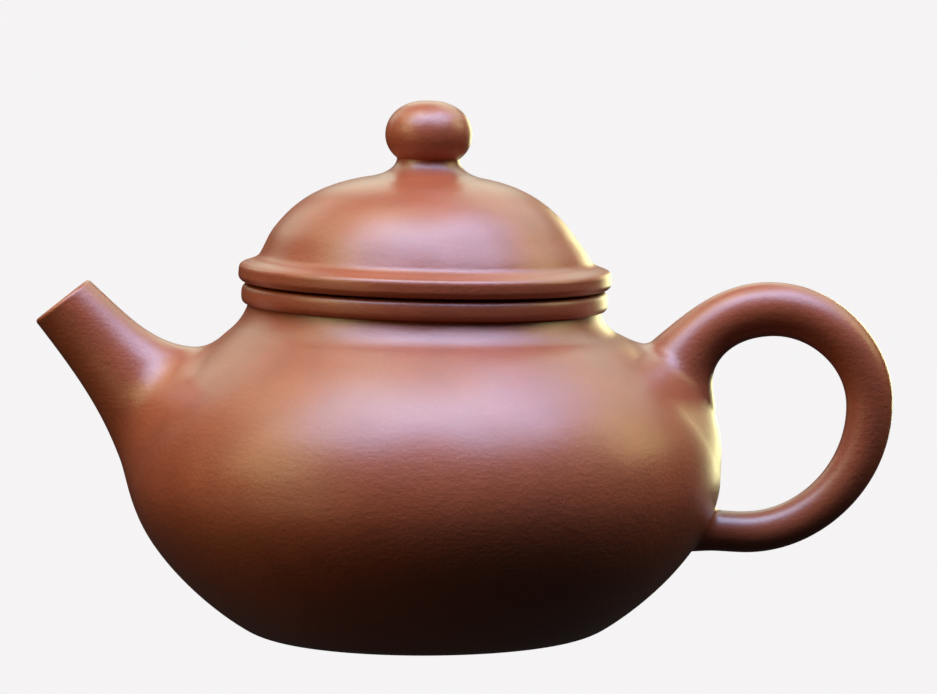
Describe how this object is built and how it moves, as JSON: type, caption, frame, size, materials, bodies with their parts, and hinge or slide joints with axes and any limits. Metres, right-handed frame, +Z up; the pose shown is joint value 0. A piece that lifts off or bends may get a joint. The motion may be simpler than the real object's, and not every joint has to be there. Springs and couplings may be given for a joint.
{
  "type": "yixing clay teapot",
  "caption": "Round unglazed clay teapot with a one-bend spout, a ring handle, a strainer inside and a domed lid with a knob that lifts off.",
  "frame": {"origin": "centre of the flat foot, on the plane that the pot stands on", "axes": "+Z up along the pot's axis, -X towards the spout's lip, +X towards the handle, +Y away from the front"},
  "size_m": [0.1406, 0.0968, 0.0877],
  "materials": {
    "outer_clay": "unglazed stoneware clay, burnished to a soft satin, with fine grain",
    "inner_clay": "unglazed stoneware clay, matt, as left by the rib"
  },
  "bodies": {
    "pot": {"base_disc": "inner_clay", "belly_wall": "outer_clay", "shoulder_slab": "outer_clay", "neck_band": "outer_clay", "mouth_ring": "outer_clay", "spout": "outer_clay", "strainer": "inner_clay", "handle": "outer_clay"},
    "lid": {"lid_rim": "outer_clay", "lid_dome": "outer_clay", "lid_flange": "inner_clay", "knob_neck": "outer_clay", "knob": "outer_clay"}
  },
  "joints": [
    {"name": "lid_lift", "type": "slide", "parent": "pot", "child": "lid", "axis": [0, 0, 1], "range_m": [0, 0.06]}
  ]
}
